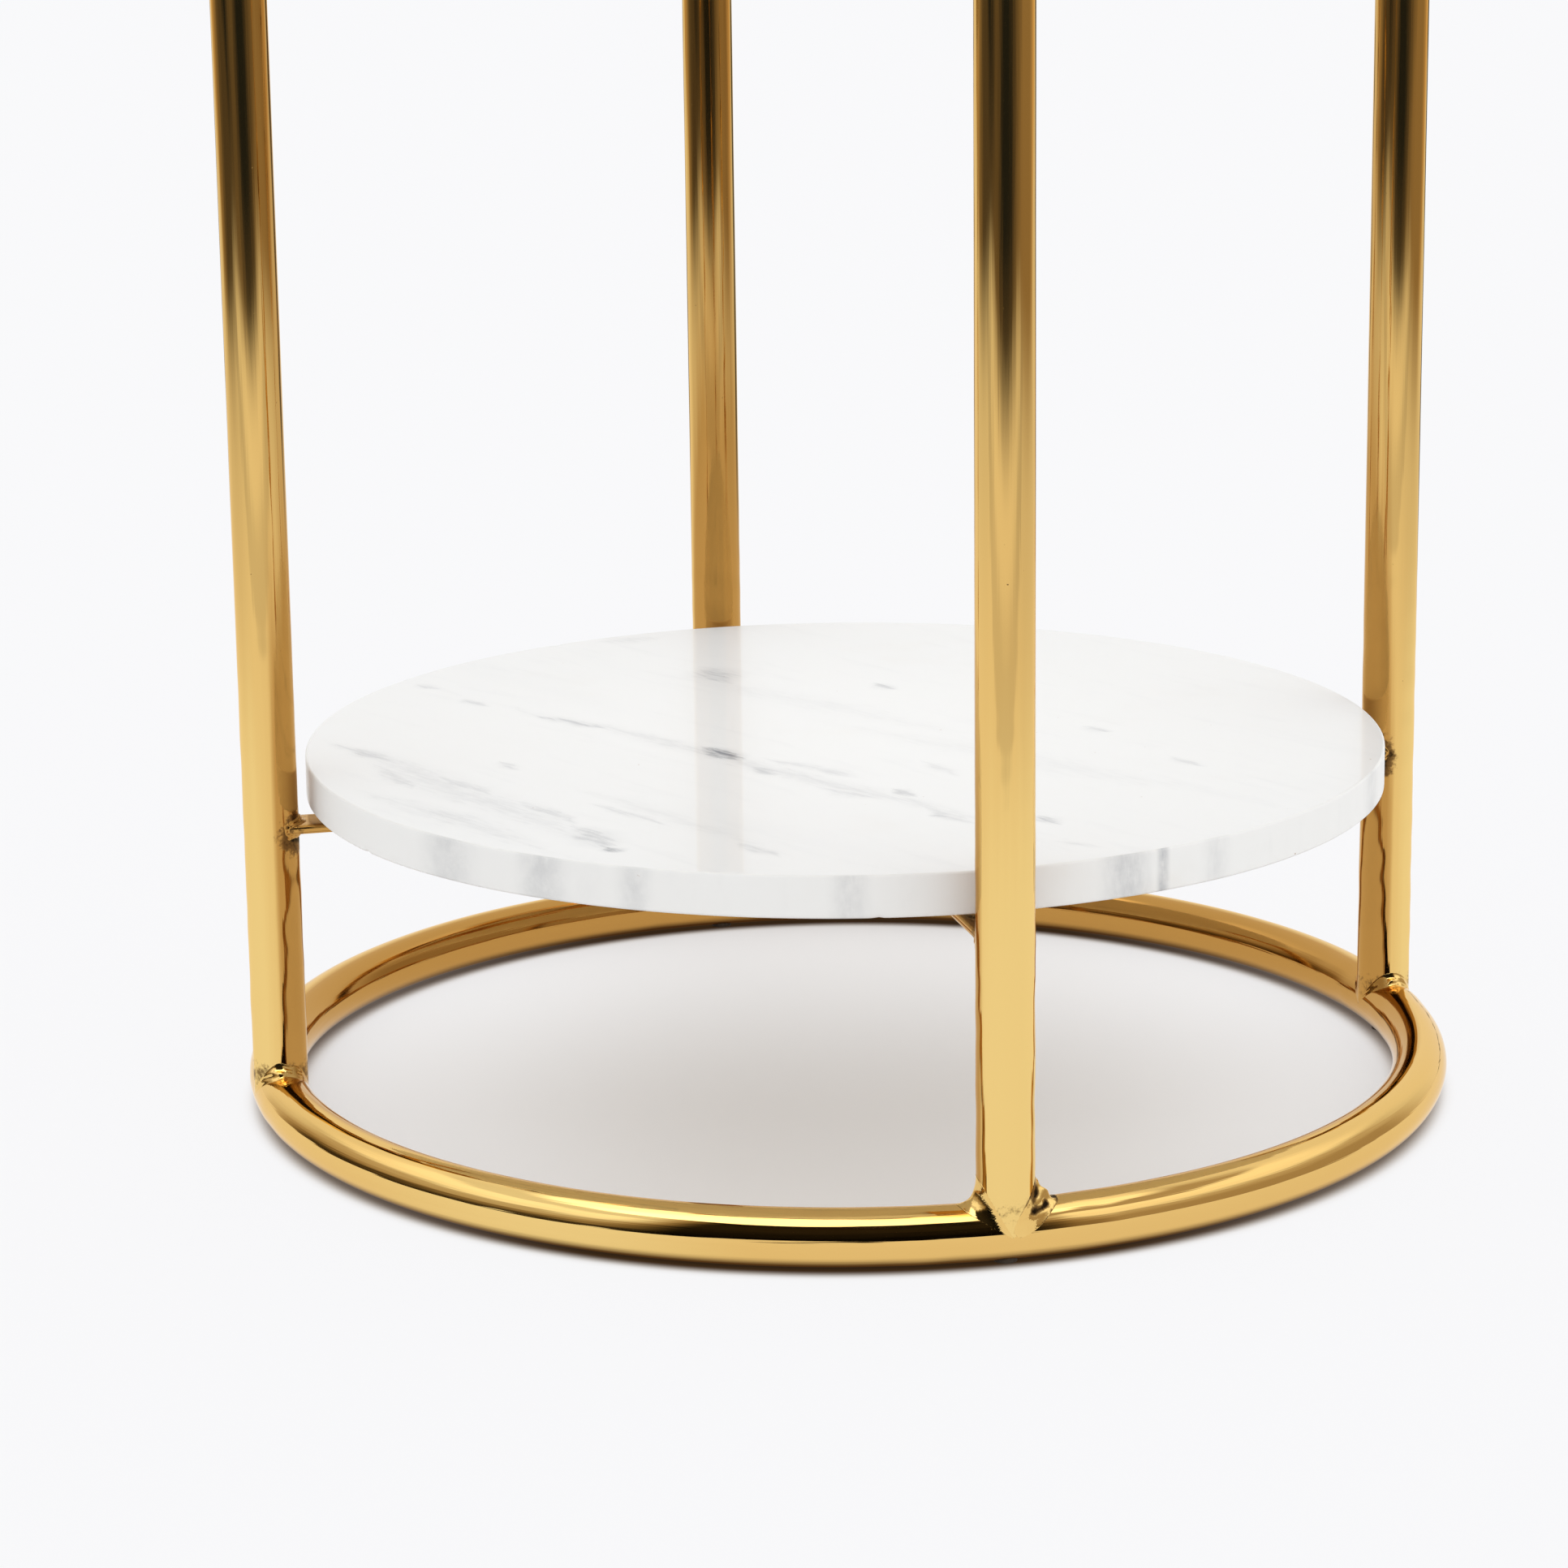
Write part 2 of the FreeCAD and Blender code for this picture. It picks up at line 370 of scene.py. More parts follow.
def lug_shell(index, angle):
    """Flat strip: a small circle carried round a rectangle gives each section, and the sections narrow to a
    rounded tip at the inner end. The outer end is buried in the leg."""
    length = lug_outer_radius - lug_inner_radius
    reach = np.linspace(0, 1, lug_rows)[:, None] ** 1.6 * length
    around = np.linspace(0, math.tau, lug_columns, endpoint=False)[None, :]
    half_thickness = (lug_top - lug_underside) / 2
    tip = np.clip(1 - reach / lug_corner, 0, 1)
    half_width = lug_half_width - lug_corner * (1 - np.sqrt(1 - tip ** 2))
    nose = np.clip(1 - reach / lug_edge_rounding, 0, 1)
    shrink = lug_edge_rounding * (1 - np.sqrt(1 - nose ** 2))
    core_width = half_width - lug_edge_rounding - shrink
    core_thickness = half_thickness - lug_edge_rounding - shrink * 0.9
    wide, thick = lug_section(around, core_width, core_thickness)
    along = lug_inner_radius + reach + 0 * wide
    fields = {
        "grain": np.stack([brush_stretch * along, wide, thick], axis=-1),
        "grain_fourth": 3.0 + index + 0 * wide,
        "tarnish": 0.6 * np.clip((reach - 0.6 * length) / (0.4 * length), 0, 1) + 0 * wide,
        # painted shade: a fixed share of brown on the lug, standing in for the shade under the slab
        "inside": 0.45 + 0 * wide,
        "gleam": 0 * wide,
    }
    middle = (lug_top + lug_underside) / 2
    return shell(corner_points(angle, along, wide, middle + thick), fields)


def fillet_shares(fullness):
    """Unit fillet in the corner of two faces, as their smooth union. A parameter m runs from -1 on the leg to
    1 on the other piece. The distance from the nearer face is a quarter of the square of 1 - |m|, and from
    the other one |m| more. Fullness swells the middle from a hollow fillet to a round bead."""
    m = np.linspace(-1, 1, weld_columns)[None, :]
    least = 0.25 * (1 - np.abs(m)) ** 2 + 0.25 * fullness * (1 - m ** 2) ** 2
    from_leg = least + np.clip(m, 0, None)
    from_other = least + np.clip(-m, 0, None)
    return m, from_leg, from_other


def weld_fields(m, lumps, grime, inside):
    """Tarnish along both edges of a bead and in the hollows between its lumps, times the grime; how far the
    bead faces inside, which sets its painted inner shade; and a fixed share of painted pale reflection."""
    edges = m ** 6 + 0 * lumps
    hollows = np.clip(-lumps / rough_lump, 0, 1)
    tarnish = grime * np.clip(0.12 + 0.50 * edges + 0.65 * hollows, 0, 1)
    tarnish = np.hstack([tarnish, np.ones_like(tarnish[:, :1])])
    return {"tarnish": tarnish, "inside": inside + 0 * tarnish, "gleam": 0.4 + 0 * tarnish}


def crotch_shell(seed, angle, side, ring_height, upward, rise, spread, fullness, lump, fade):
    """Weld in one crotch of a leg and a ring. In each upright plane along the ring, at r sin v outward from
    its middle, a unit fillet gives the distances from the leg, times the spread, and from the ring, times
    the rise. The point that far from both tubes is then found from the circles of their sections. Towards
    the front and back the fillet shrinks as the cosine of v to the power of the fade. It has random lumps,
    follows the ring's bend on its ring side and closes through a buried root."""
    v = np.radians(np.linspace(-89.5, 89.5, weld_rows))[:, None]
    m, from_leg, from_ring = fillet_shares(fullness)
    size = np.cos(v) ** fade * (1 + 0.08 * ripple(seed, v, 0 * v, 2.5, 0.8))
    lumps = lump * (1 - m ** 2) ** 2 * np.cos(v) ** 2
    lumps = lumps * ripple(seed + 1, tube_radius * v, 2 * m, 0.014, 0.005, waves=8)
    sink = 0.002 * tube_radius * m ** 8
    out = tube_radius * np.sin(v) + 0 * m
    off_leg = tube_radius + spread * size * from_leg + lumps - sink
    off_ring = tube_radius + rise * size * from_ring + lumps - sink
    along = np.sqrt(np.maximum(off_leg ** 2 - out ** 2, 0))
    up = np.sqrt(np.maximum(off_ring ** 2 - out ** 2, 0))
    root = tube_radius * (np.cos(v) - 0.15)
    along = side * np.hstack([along, root])
    up = ring_height + upward * np.hstack([up, root])
    reach = ring_radius + np.hstack([out, 0.85 * tube_radius * np.sin(v)])
    straight = corner_points(angle, reach, along, up)
    turn = math.radians(angle) + along / ring_radius
    bent = np.stack([reach * np.cos(turn), reach * np.sin(turn), up], axis=-1)
    bend = np.hstack([(m + 1) / 2, np.full((1, 1), 0.5)])[..., None]
    rows = straight + bend * (bent - straight)
    grime = np.clip(lump / rough_lump, 0.1, 2) * (0.25 + 0.75 * np.cos(v))
    return shell(rows, weld_fields(m, lumps, grime, np.clip(-np.sin(v), 0, 1)))


def lug_collar_shell(seed, angle, low_rise, low_spread, lump):
    """Weld all round a lug where it meets its leg. At each point of the lug's section a unit fillet runs from
    the leg, its distance measured round and along the leg, on to the lug. The fillet is small above the lug
    and at its sides and large below it, and has random lumps."""
    around = np.linspace(0, math.tau, collar_rows, endpoint=False)[:, None]
    lap = around / math.tau
    m, from_leg, from_lug = fillet_shares(0.15)
    half_thickness = (lug_top - lug_underside) / 2
    core_width = lug_half_width - lug_edge_rounding
    wide, thick = lug_section(around, core_width, half_thickness - lug_edge_rounding)
    over = np.clip(np.sin(around), 0, 1) ** 2
    under = np.clip(-np.sin(around), 0, 1) ** 2
    rise = collar_side + (collar_top_rise - collar_side) * over + (low_rise - collar_side) * under
    spread = collar_side + (collar_top_spread - collar_side) * over + (low_spread - collar_side) * under
    size = 1 - 0.35 * (wide / lug_half_width) ** 2
    size = size * (1 + 0.10 * ripple(seed, lap, 0 * around, 0.5, 0.12, lap=1.0))
    lumps = lump * (1 - m ** 2) ** 2 * ripple(seed + 1, lap, 2 * m, 0.35, 0.10, lap=1.0, waves=8)
    sink = 0.06 * millimetre * m ** 8
    root = 0 * around - 0.08 * tube_radius
    off_leg = np.hstack([spread * size * from_leg + lumps - sink, root])
    off_lug = np.hstack([rise * size * from_lug + lumps - sink, root])
    turn = np.arcsin(wide / tube_radius) + off_lug * np.cos(around) / tube_radius
    height = (lug_top + lug_underside) / 2 + thick + off_lug * np.sin(around)
    inward = tube_radius * np.cos(turn) + off_leg
    rows = corner_points(angle, ring_radius - inward, tube_radius * np.sin(turn), height)
    return shell(rows, weld_fields(m, lumps, 1.0, 0.5 + 0 * around), ends_meet=True)


# Shape of the stone

slab_chips = 9
chip_depth = 0.55 * millimetre
chip_width = 1.6 * millimetre


def slab_shell(seed, radius, underside, crown):
    """Round slab turned about the table's axis. The profile runs along the underside, round a quarter circle,
    up the edge, round another and back over the top. Small chips, bell curves of the distance along the edge,
    bite into both arrises, and the sawn edge waves very slightly."""
    turn = np.linspace(0, math.tau, slab_columns, endpoint=False)[None, :]
    quarter = np.radians(np.linspace(0, 90, 9))
    flat = (radius - arris) * np.array([0.05, 0.3, 0.6, 0.85, 0.95, 0.985, 0.996, 0.999])
    edge_heights = np.linspace(underside + arris, crown - arris, 13)[1:-1]
    lower_out = radius - arris + arris * np.sin(quarter)
    lower_up = underside + arris - arris * np.cos(quarter)
    out = np.concatenate([flat, lower_out, np.full(11, radius), lower_out[::-1], flat[::-1]])[:, None]
    mirrored = underside + crown - lower_up[::-1]
    flat_low = np.full(len(flat), underside)
    flat_high = np.full(len(flat), crown)
    up = np.concatenate([flat_low, lower_up, edge_heights, mirrored, flat_high])[:, None]
    rim = np.clip((out - radius + arris) / (0.4 * arris), 0, 1) + 0 * turn
    near_rim = hump(out - radius, 4 * millimetre)
    lap = math.tau * radius
    wave = 0.05 * millimetre * near_rim * ripple(seed, radius * turn, 0 * turn, 0.12, 0.03, lap)
    draw = np.random.default_rng(seed)
    bite = 0.0 * turn * up
    for _ in range(slab_chips):
        place = draw.uniform(0, math.tau)
        low_side = draw.uniform() < 0.6
        size = draw.uniform(0.5, 1.3)
        apart = (np.mod(turn - place + math.pi, math.tau) - math.pi) * radius
        arris_up = underside if low_side else crown
        from_arris = np.hypot(out - radius, up - arris_up)
        bite = bite + size * chip_depth * hump(apart, size * chip_width) * hump(from_arris, 1.3 * millimetre)
    out = out + wave - bite
    to_middle = np.sign((underside + crown) / 2 - up)
    up = up + 0.7 * bite * to_middle + 0 * turn
    rows = np.stack([out * np.cos(turn), out * np.sin(turn), up], axis=-1)
    return shell(rows, {"rim": rim})


# Node helpers


def connect(tree, socket, value):
    """Link an output to a socket, or set the socket's value."""
    if isinstance(value, bpy.types.NodeSocket):
        tree.links.new(value, socket)
    else:
        socket.default_value = value


def feed(tree, node, **sockets):
    """Connect a node's named sockets, each to an output or a value."""
    for label, value in sockets.items():
        connect(tree, node.inputs[label.replace("_", " ")], value)


def put(tree, kind, settings=None, **sockets):
    """New node with its settings and its sockets."""
    made = tree.nodes.new(kind)
    for setting, value in (settings or {}).items():
        setattr(made, setting, value)
    feed(tree, made, **sockets)
    return made


def calc(tree, operation, *values):
    """Math node on one to three numbers."""
    made = tree.nodes.new("ShaderNodeMath")
    made.operation = operation
    for socket, value in zip(made.inputs, values):
        connect(tree, socket, value)
    return made.outputs["Value"]


def add_scaled(tree, total, value, share):
    """The total plus the value times the share."""
    return calc(tree, "MULTIPLY_ADD", value, share, total)


def scaled(tree, value, share):
    """The value times the share."""
    return calc(tree, "MULTIPLY", value, share)


def vector_calc(tree, operation, *values):
    """Vector math node on one to three vectors; returns its outputs."""
    made = tree.nodes.new("ShaderNodeVectorMath")
    made.operation = operation
    for socket, value in zip(made.inputs, values):
        connect(tree, socket, value)
    return made.outputs


def mix_value(tree, share, first, second):
    """Number that goes from the first to the second as the share goes from 0 to 1."""
    return add_scaled(tree, first, calc(tree, "SUBTRACT", second, first), share)


def along_direction(tree, vector, direction):
    """Length of a vector along a direction."""
    return vector_calc(tree, "DOT_PRODUCT", vector, direction)["Value"]


def field(tree, name, output="Fac"):
    """Field of numbers, or of vectors, that the mesh carries."""
    return put(tree, "ShaderNodeAttribute", {"attribute_name": name}).outputs[output]


def object_place(tree):
    """Place in the object's frame, which is the table's own."""
    return put(tree, "ShaderNodeTexCoord").outputs["Object"]


def smooth_step(tree, value, start, end, low=0.0, high=1.0):
    """Smooth change from low to high as the value goes from start to end."""
    made = put(tree, "ShaderNodeMapRange", {"interpolation_type": "SMOOTHSTEP"}, Value=value)
    feed(tree, made, From_Min=start, From_Max=end, To_Min=low, To_Max=high)
    return made.outputs["Result"]


def blend_colour(tree, share, first, second):
    """Mix of two colours."""
    made = tree.nodes.new("ShaderNodeMix")
    made.data_type = "RGBA"
    connect(tree, made.inputs["Factor"], share)
    for socket in made.inputs:
        if socket.type == "RGBA" and socket.name == "A":
            connect(tree, socket, first)
        if socket.type == "RGBA" and socket.name == "B":
            connect(tree, socket, second)
    return next(socket for socket in made.outputs if socket.type == "RGBA")


def noise(tree, vector, scale, detail=2.0, fourth=0.0, roughness=0.5):
    """Four-dimensional noise, 0 to 1."""
    made = put(tree, "ShaderNodeTexNoise", {"noise_dimensions": "4D"}, Vector=vector, Scale=scale)
    feed(tree, made, Detail=detail, W=fourth, Roughness=roughness)
    return made.outputs["Fac"]


def new_group(name, inputs, outputs):
    """Empty shader node group with named sockets; returns it with its input and output nodes."""
    group = bpy.data.node_groups.new(name, "ShaderNodeTree")
    for label, kind in inputs:
        group.interface.new_socket(label, in_out="INPUT", socket_type="NodeSocket" + kind)
    for label, kind in outputs:
        group.interface.new_socket(label, in_out="OUTPUT", socket_type="NodeSocket" + kind)
    return group, group.nodes.new("NodeGroupInput").outputs, group.nodes.new("NodeGroupOutput").inputs


def use_group(tree, group, **sockets):
    """Place a group in a material."""
    return put(tree, "ShaderNodeGroup", {"node_tree": group}, **sockets).outputs


def new_material(name):
    """Material with a Principled shader; returns it with its node tree and that shader."""
    material = bpy.data.materials.new(name)
    material.use_nodes = True
    return material, material.node_tree, material.node_tree.nodes["Principled BSDF"]


def raise_surface(tree, shader, height, strength, distance):
    """Bump from a height, into the shader's normal."""
    bump = put(tree, "ShaderNodeBump", Height=height, Strength=strength, Distance=distance)
    feed(tree, shader, Normal=bump.outputs["Normal"])


# Shared effects


def tarnish_masks(group, given, blotch):
    """Sparse pits, and brown and black tarnish that breaks up in blotches where its field is strong."""
    limit = calc(group, "SUBTRACT", 0.80, given["Pitting"])
    limit = add_scaled(group, limit, given["Tarnish"], -0.12)
    pits = noise(group, given["Place"], 700.0, 1.0)
    pits = smooth_step(group, pits, limit, calc(group, "ADD", limit, 0.04))
    uneven = calc(group, "MULTIPLY_ADD", blotch, 1.3, -0.65)
    reached = calc(group, "MINIMUM", scaled(group, given["Tarnish"], 3.0), 1.0)
    spread = add_scaled(group, given["Tarnish"], uneven, reached)
    brown = smooth_step(group, spread, 0.30, 0.62)
    black = smooth_step(group, spread, 0.62, 0.95)
    return pits, brown, black


def polish_group():
    """Polished gold plating: fine lines drawn along the piece, smudges that dull it, a painted pale
    reflection on outward faces, painted shade that browns the inner sides, sparse pits and tarnish."""
    inputs = [("Grain", "Vector"), ("Place", "Vector")]
    labels = ("Fourth", "Tarnish", "Inside", "Gleam", "Pitting", "Dullness")
    inputs += [(label, "Float") for label in labels]
    outputs = [("Colour", "Color"), ("Roughness", "Float"), ("Height", "Float")]
    group, given, result = new_group("polished_gold", inputs, outputs)
    lines = noise(group, given["Grain"], 1500.0, 3.0, given["Fourth"], 0.6)
    drawn = noise(group, given["Grain"], 600.0, 2.0, given["Fourth"], 0.6)
    smudge = noise(group, given["Grain"], 160.0, 4.0, given["Fourth"], 0.6)
    cloud = noise(group, given["Grain"], 45.0, 2.0, given["Fourth"])
    blotch = noise(group, given["Place"], 380.0, 5.0, 0.0, 0.65)
    pits, brown, black = tarnish_masks(group, given, blotch)
    # painted reflection: the gleam field, broken up by smudges, lays pale gold on outward faces
    pale_reflection_share = add_scaled(group, calc(group, "SUBTRACT", given["Gleam"], 0.3), smudge, 0.6)
    # painted shade: the inside field, broken up by smudges, browns the inner sides
    dim = add_scaled(group, calc(group, "SUBTRACT", given["Inside"], 0.25), smudge, 0.5)
    dim = smooth_step(group, dim, 0.16, 0.46)
    tint = blend_colour(group, smooth_step(group, cloud, 0.35, 0.75), gold, deep_gold)
    layers = [
        (smooth_step(group, pale_reflection_share, 0.1, 0.9, 0.0, 0.68), pale_reflection_gold),
        (scaled(group, dim, 0.95), inner_shade_brown),
        (scaled(group, pits, 0.75), tarnish_brown),
        (scaled(group, brown, 0.85), tarnish_brown),
        (black, burnt_black),
    ]
    for share, colour in layers:
        tint = blend_colour(group, share, tint, colour)
    dull = given["Dullness"]
    for mask, share in [(smudge, 0.04), (lines, 0.015), (dim, 0.03), (brown, 0.25), (black, 0.20)]:
        dull = add_scaled(group, dull, mask, share)
    high = add_scaled(group, scaled(group, lines, 0.5), drawn, 9.0)
    high = add_scaled(group, high, pits, -2.5)
    high = add_scaled(group, high, brown, scaled(group, blotch, 2.0))
    connect(group, result["Colour"], tint)
    connect(group, result["Roughness"], dull)
    connect(group, result["Height"], high)
    return group


def vein_group():
    """One feathery streak in the stone, an upright sheet about a centre. With u the distance along it in
    half lengths and v the distance across it in widths, its body is 1 - u squared - |v|: a soft shade a
    little wider than that, with strands where the streaky noise is high."""
    inputs = [("Position", "Vector"), ("Centre", "Vector")]
    inputs += [(label, "Float") for label in ("Streak", "Angle", "Half Length", "Width")]
    group, given, result = new_group("stone_vein", inputs, [("Mask", "Float")])
    settings = {"rotation_type": "Z_AXIS", "invert": True}
    sockets = {"Vector": given["Position"], "Center": given["Centre"], "Angle": given["Angle"]}
    turned = put(group, "ShaderNodeVectorRotate", settings, **sockets).outputs["Vector"]
    offset = vector_calc(group, "SUBTRACT", turned, given["Centre"])["Vector"]
    parts = put(group, "ShaderNodeSeparateXYZ", Vector=offset).outputs
    along = calc(group, "DIVIDE", parts["X"], given["Half Length"])
    across = calc(group, "DIVIDE", calc(group, "ABSOLUTE", parts["Y"]), given["Width"])
    body = calc(group, "SUBTRACT", 1.0, add_scaled(group, across, along, along))
    soft = smooth_step(group, add_scaled(group, body, across, 0.3), 0.0, 1.0)
    strand = smooth_step(group, add_scaled(group, given["Streak"], body, 0.30), 0.56, 0.90)
    strand = scaled(group, strand, smooth_step(group, body, 0.0, 0.40))
    mask = add_scaled(group, scaled(group, soft, 0.36), strand, 0.76)
    connect(group, result["Mask"], mask)
    return group


# Materials

stone_coat = 0.32


def gold_material(name, polish, pitting, dullness, uses_grain):
    """Polished gold, on the piece's own grain field or, on the welds, on its place."""
    material, tree, shader = new_material(name)
    place = object_place(tree)
    fields = {label: field(tree, label.lower()) for label in ("Tarnish", "Inside", "Gleam")}
    fields["Grain"] = field(tree, "grain", "Vector") if uses_grain else place
    fields["Fourth"] = field(tree, "grain_fourth") if uses_grain else 0.0
    look = use_group(tree, polish, Place=place, Pitting=pitting, Dullness=dullness, **fields)
    feed(tree, shader, Metallic=1.0, Specular_Tint=gold_edge)
    feed(tree, shader, Base_Color=look["Colour"], Roughness=look["Roughness"])
    raise_surface(tree, shader, look["Height"], 0.25, 0.04 * millimetre)
    return material


def bent_place(tree, place, scale, reach, seed):
    """Place moved about by noise, so that straight veins wander."""
    settings = {"noise_dimensions": "4D"}
    moved = put(tree, "ShaderNodeTexNoise", settings, Vector=place, Scale=scale, Detail=3.0, W=seed + 8.0)
    centred = vector_calc(tree, "SUBTRACT", moved.outputs["Color"], (0.5, 0.5, 0.5))["Vector"]
    return vector_calc(tree, "MULTIPLY_ADD", centred, (reach, reach, reach), place)["Vector"]


def edge_bands(tree, place, streak, rim, bands):
    """Soft upright bands on the edge face, by the angle round the slab, frayed by streaky noise."""
    parts = put(tree, "ShaderNodeSeparateXYZ", Vector=place).outputs
    heading = calc(tree, "DEGREES", calc(tree, "ARCTAN2", parts["Y"], parts["X"]))
    blotch = noise(tree, place, 160.0, 5.0, 0.0, 0.65)
    uneven = add_scaled(tree, calc(tree, "MULTIPLY_ADD", blotch, 1.1, -0.85), streak, 1.1)
    dark = 0.0
    for angle, half_width, strength in bands:
        apart = calc(tree, "ABSOLUTE", calc(tree, "SUBTRACT", heading, angle))
        body = smooth_step(tree, apart, 0.0, 1.3 * half_width, strength, 0.0)
        dark = calc(tree, "MAXIMUM", dark, body)
    dark = scaled(tree, dark, calc(tree, "MULTIPLY_ADD", uneven, 1.6, 0.55))
    return scaled(tree, calc(tree, "MAXIMUM", dark, 0.0), rim)


def stone_ground(tree, place, flow, rim, seed):
    """White ground of the stone: faint grey clouds and mist drawn out along the flow, and warm patches that
    are stronger on the edge face, where a warmer, darker tint all along the edge is painted shade."""
    cloud = smooth_step(tree, noise(tree, flow, 22.0, 4.0, seed + 1.0, 0.55), 0.48, 0.78)
    mist = smooth_step(tree, noise(tree, flow, 90.0, 6.0, seed + 2.0, 0.62), 0.52, 0.78)
    warm = smooth_step(tree, noise(tree, place, 13.0, 4.0, seed + 3.0, 0.6), 0.54, 0.80)
    grey = add_scaled(tree, scaled(tree, mist, 0.11), cloud, 0.07)
    tint = blend_colour(tree, grey, stone_white, stone_grey)
    # painted shade: the edge face gets a warmer, darker tint all round, on top of the warm patches
    warmth_and_edge_shade = scaled(tree, warm, calc(tree, "MULTIPLY_ADD", rim, 0.30, 0.12))
    return blend_colour(tree, add_scaled(tree, warmth_and_edge_shade, rim, 0.16), tint, warm_patch_and_edge_shade)


def stone_material(name, vein, veins, bands, vein_angle, seed):
    """White marble, polished above and below and honed on its edge: its ground, the slab's own veins and
    edge bands, and rare rusty specks."""
    material, tree, shader = new_material(name)
    place = object_place(tree)
    rim = field(tree, "rim")
    turn = (0, 0, math.radians(vein_angle))
    settings = {"vector_type": "TEXTURE"}
    flow = put(tree, "ShaderNodeMapping", settings, Vector=place, Rotation=turn, Scale=(6.0, 1.0, 4.0))
    flow = flow.outputs["Vector"]
    streak = noise(tree, flow, 520.0, 7.0, seed, 0.66)
    tint = stone_ground(tree, place, flow, rim, seed)
    bent = bent_place(tree, bent_place(tree, place, 16.0, 0.016, seed), 90.0, 0.008, seed)
    dark = edge_bands(tree, place, streak, rim, bands)
    for start_x, start_y, end_x, end_y, width, strength in veins:
        run = Vector((end_x - start_x, end_y - start_y)) * millimetre
        centre = Vector((start_x + end_x, start_y + end_y, 0.0)) / 2 * millimetre
        values = {"Centre": centre, "Angle": math.atan2(run.y, run.x), "Half_Length": run.length / 2}
        values["Width"] = width * millimetre
        mask = use_group(tree, vein, Position=bent, Streak=streak, **values)["Mask"]
        dark = calc(tree, "MAXIMUM", dark, scaled(tree, mask, strength))
    tint = blend_colour(tree, dark, tint, stone_vein)
    speck = smooth_step(tree, noise(tree, place, 420.0, 1.0, seed + 5.0), 0.80, 0.84)
    tint = blend_colour(tree, scaled(tree, speck, 0.5), tint, stone_rust)
    dull = calc(tree, "MULTIPLY_ADD", noise(tree, place, 60.0, 4.0, seed + 6.0), 0.10, 0.34)
    dull = add_scaled(tree, add_scaled(tree, dull, rim, 0.20), dark, 0.08)
    coat = calc(tree, "MULTIPLY_ADD", rim, -stone_coat, stone_coat)
    feed(tree, shader, Base_Color=tint, Roughness=dull, Specular_IOR_Level=0.25)
    feed(tree, shader, Coat_Weight=coat, Coat_Roughness=0.04)
    raise_surface(tree, shader, noise(tree, place, 900.0, 2.0, seed + 7.0), 0.06, 0.03 * millimetre)
    return material


def bumper_material():
    """Clear soft rubber, a little cloudy and dusty."""
    material, tree, shader = new_material("clear_rubber")
    place = object_place(tree)
    dust = smooth_step(tree, noise(tree, place, 900.0, 4.0, 0.3), 0.5, 0.75)
    tint = blend_colour(tree, dust, rubber_clear, rubber_dust)
    dull = calc(tree, "MULTIPLY_ADD", dust, 0.3, 0.22)
    feed(tree, shader, Base_Color=tint, Roughness=dull, Transmission_Weight=0.85, IOR=1.41)
    raise_surface(tree, shader, dust, 0.2, 0.05 * millimetre)
    return material


def felt_material():
    """Dark felt: tangled fibres in colour and height."""
    material, tree, shader = new_material("dark_felt")
    place = object_place(tree)
    fibre = noise(tree, place, 2400.0, 6.0, 0.7, 0.7)
    tint = blend_colour(tree, fibre, felt_dark, felt_light)
    dull = smooth_step(tree, fibre, 0.2, 0.8, 0.82, 0.98)
    feed(tree, shader, Base_Color=tint, Roughness=dull, Sheen_Weight=0.3)
    raise_surface(tree, shader, fibre, 0.7, 0.2 * millimetre)
    return material


def vein_chain(seed, start, end, count):
    """One long faint streak from start to end, with a row of short ones of random place, tilt, size and
    strength along it."""
    draw = np.random.default_rng(seed)
    start = np.array(start, dtype=float)
    run = np.array(end) - start
    across = np.array([-run[1], run[0]]) / np.hypot(*run)
    chain = [(*start, *(start + run), 14.0, 0.15)]
    for step in range(count):
        share = (step + draw.uniform(0.1, 0.9)) / count
        half = run * draw.uniform(0.03, 0.09)
        half = half + across * np.hypot(*half) * draw.uniform(-0.2, 0.2)
        middle = start + run * share + across * draw.normal(0.0, 5.0)
        chain.append((*(middle - half), *(middle + half), draw.uniform(3.0, 8.0), draw.uniform(0.14, 0.50)))
    return chain


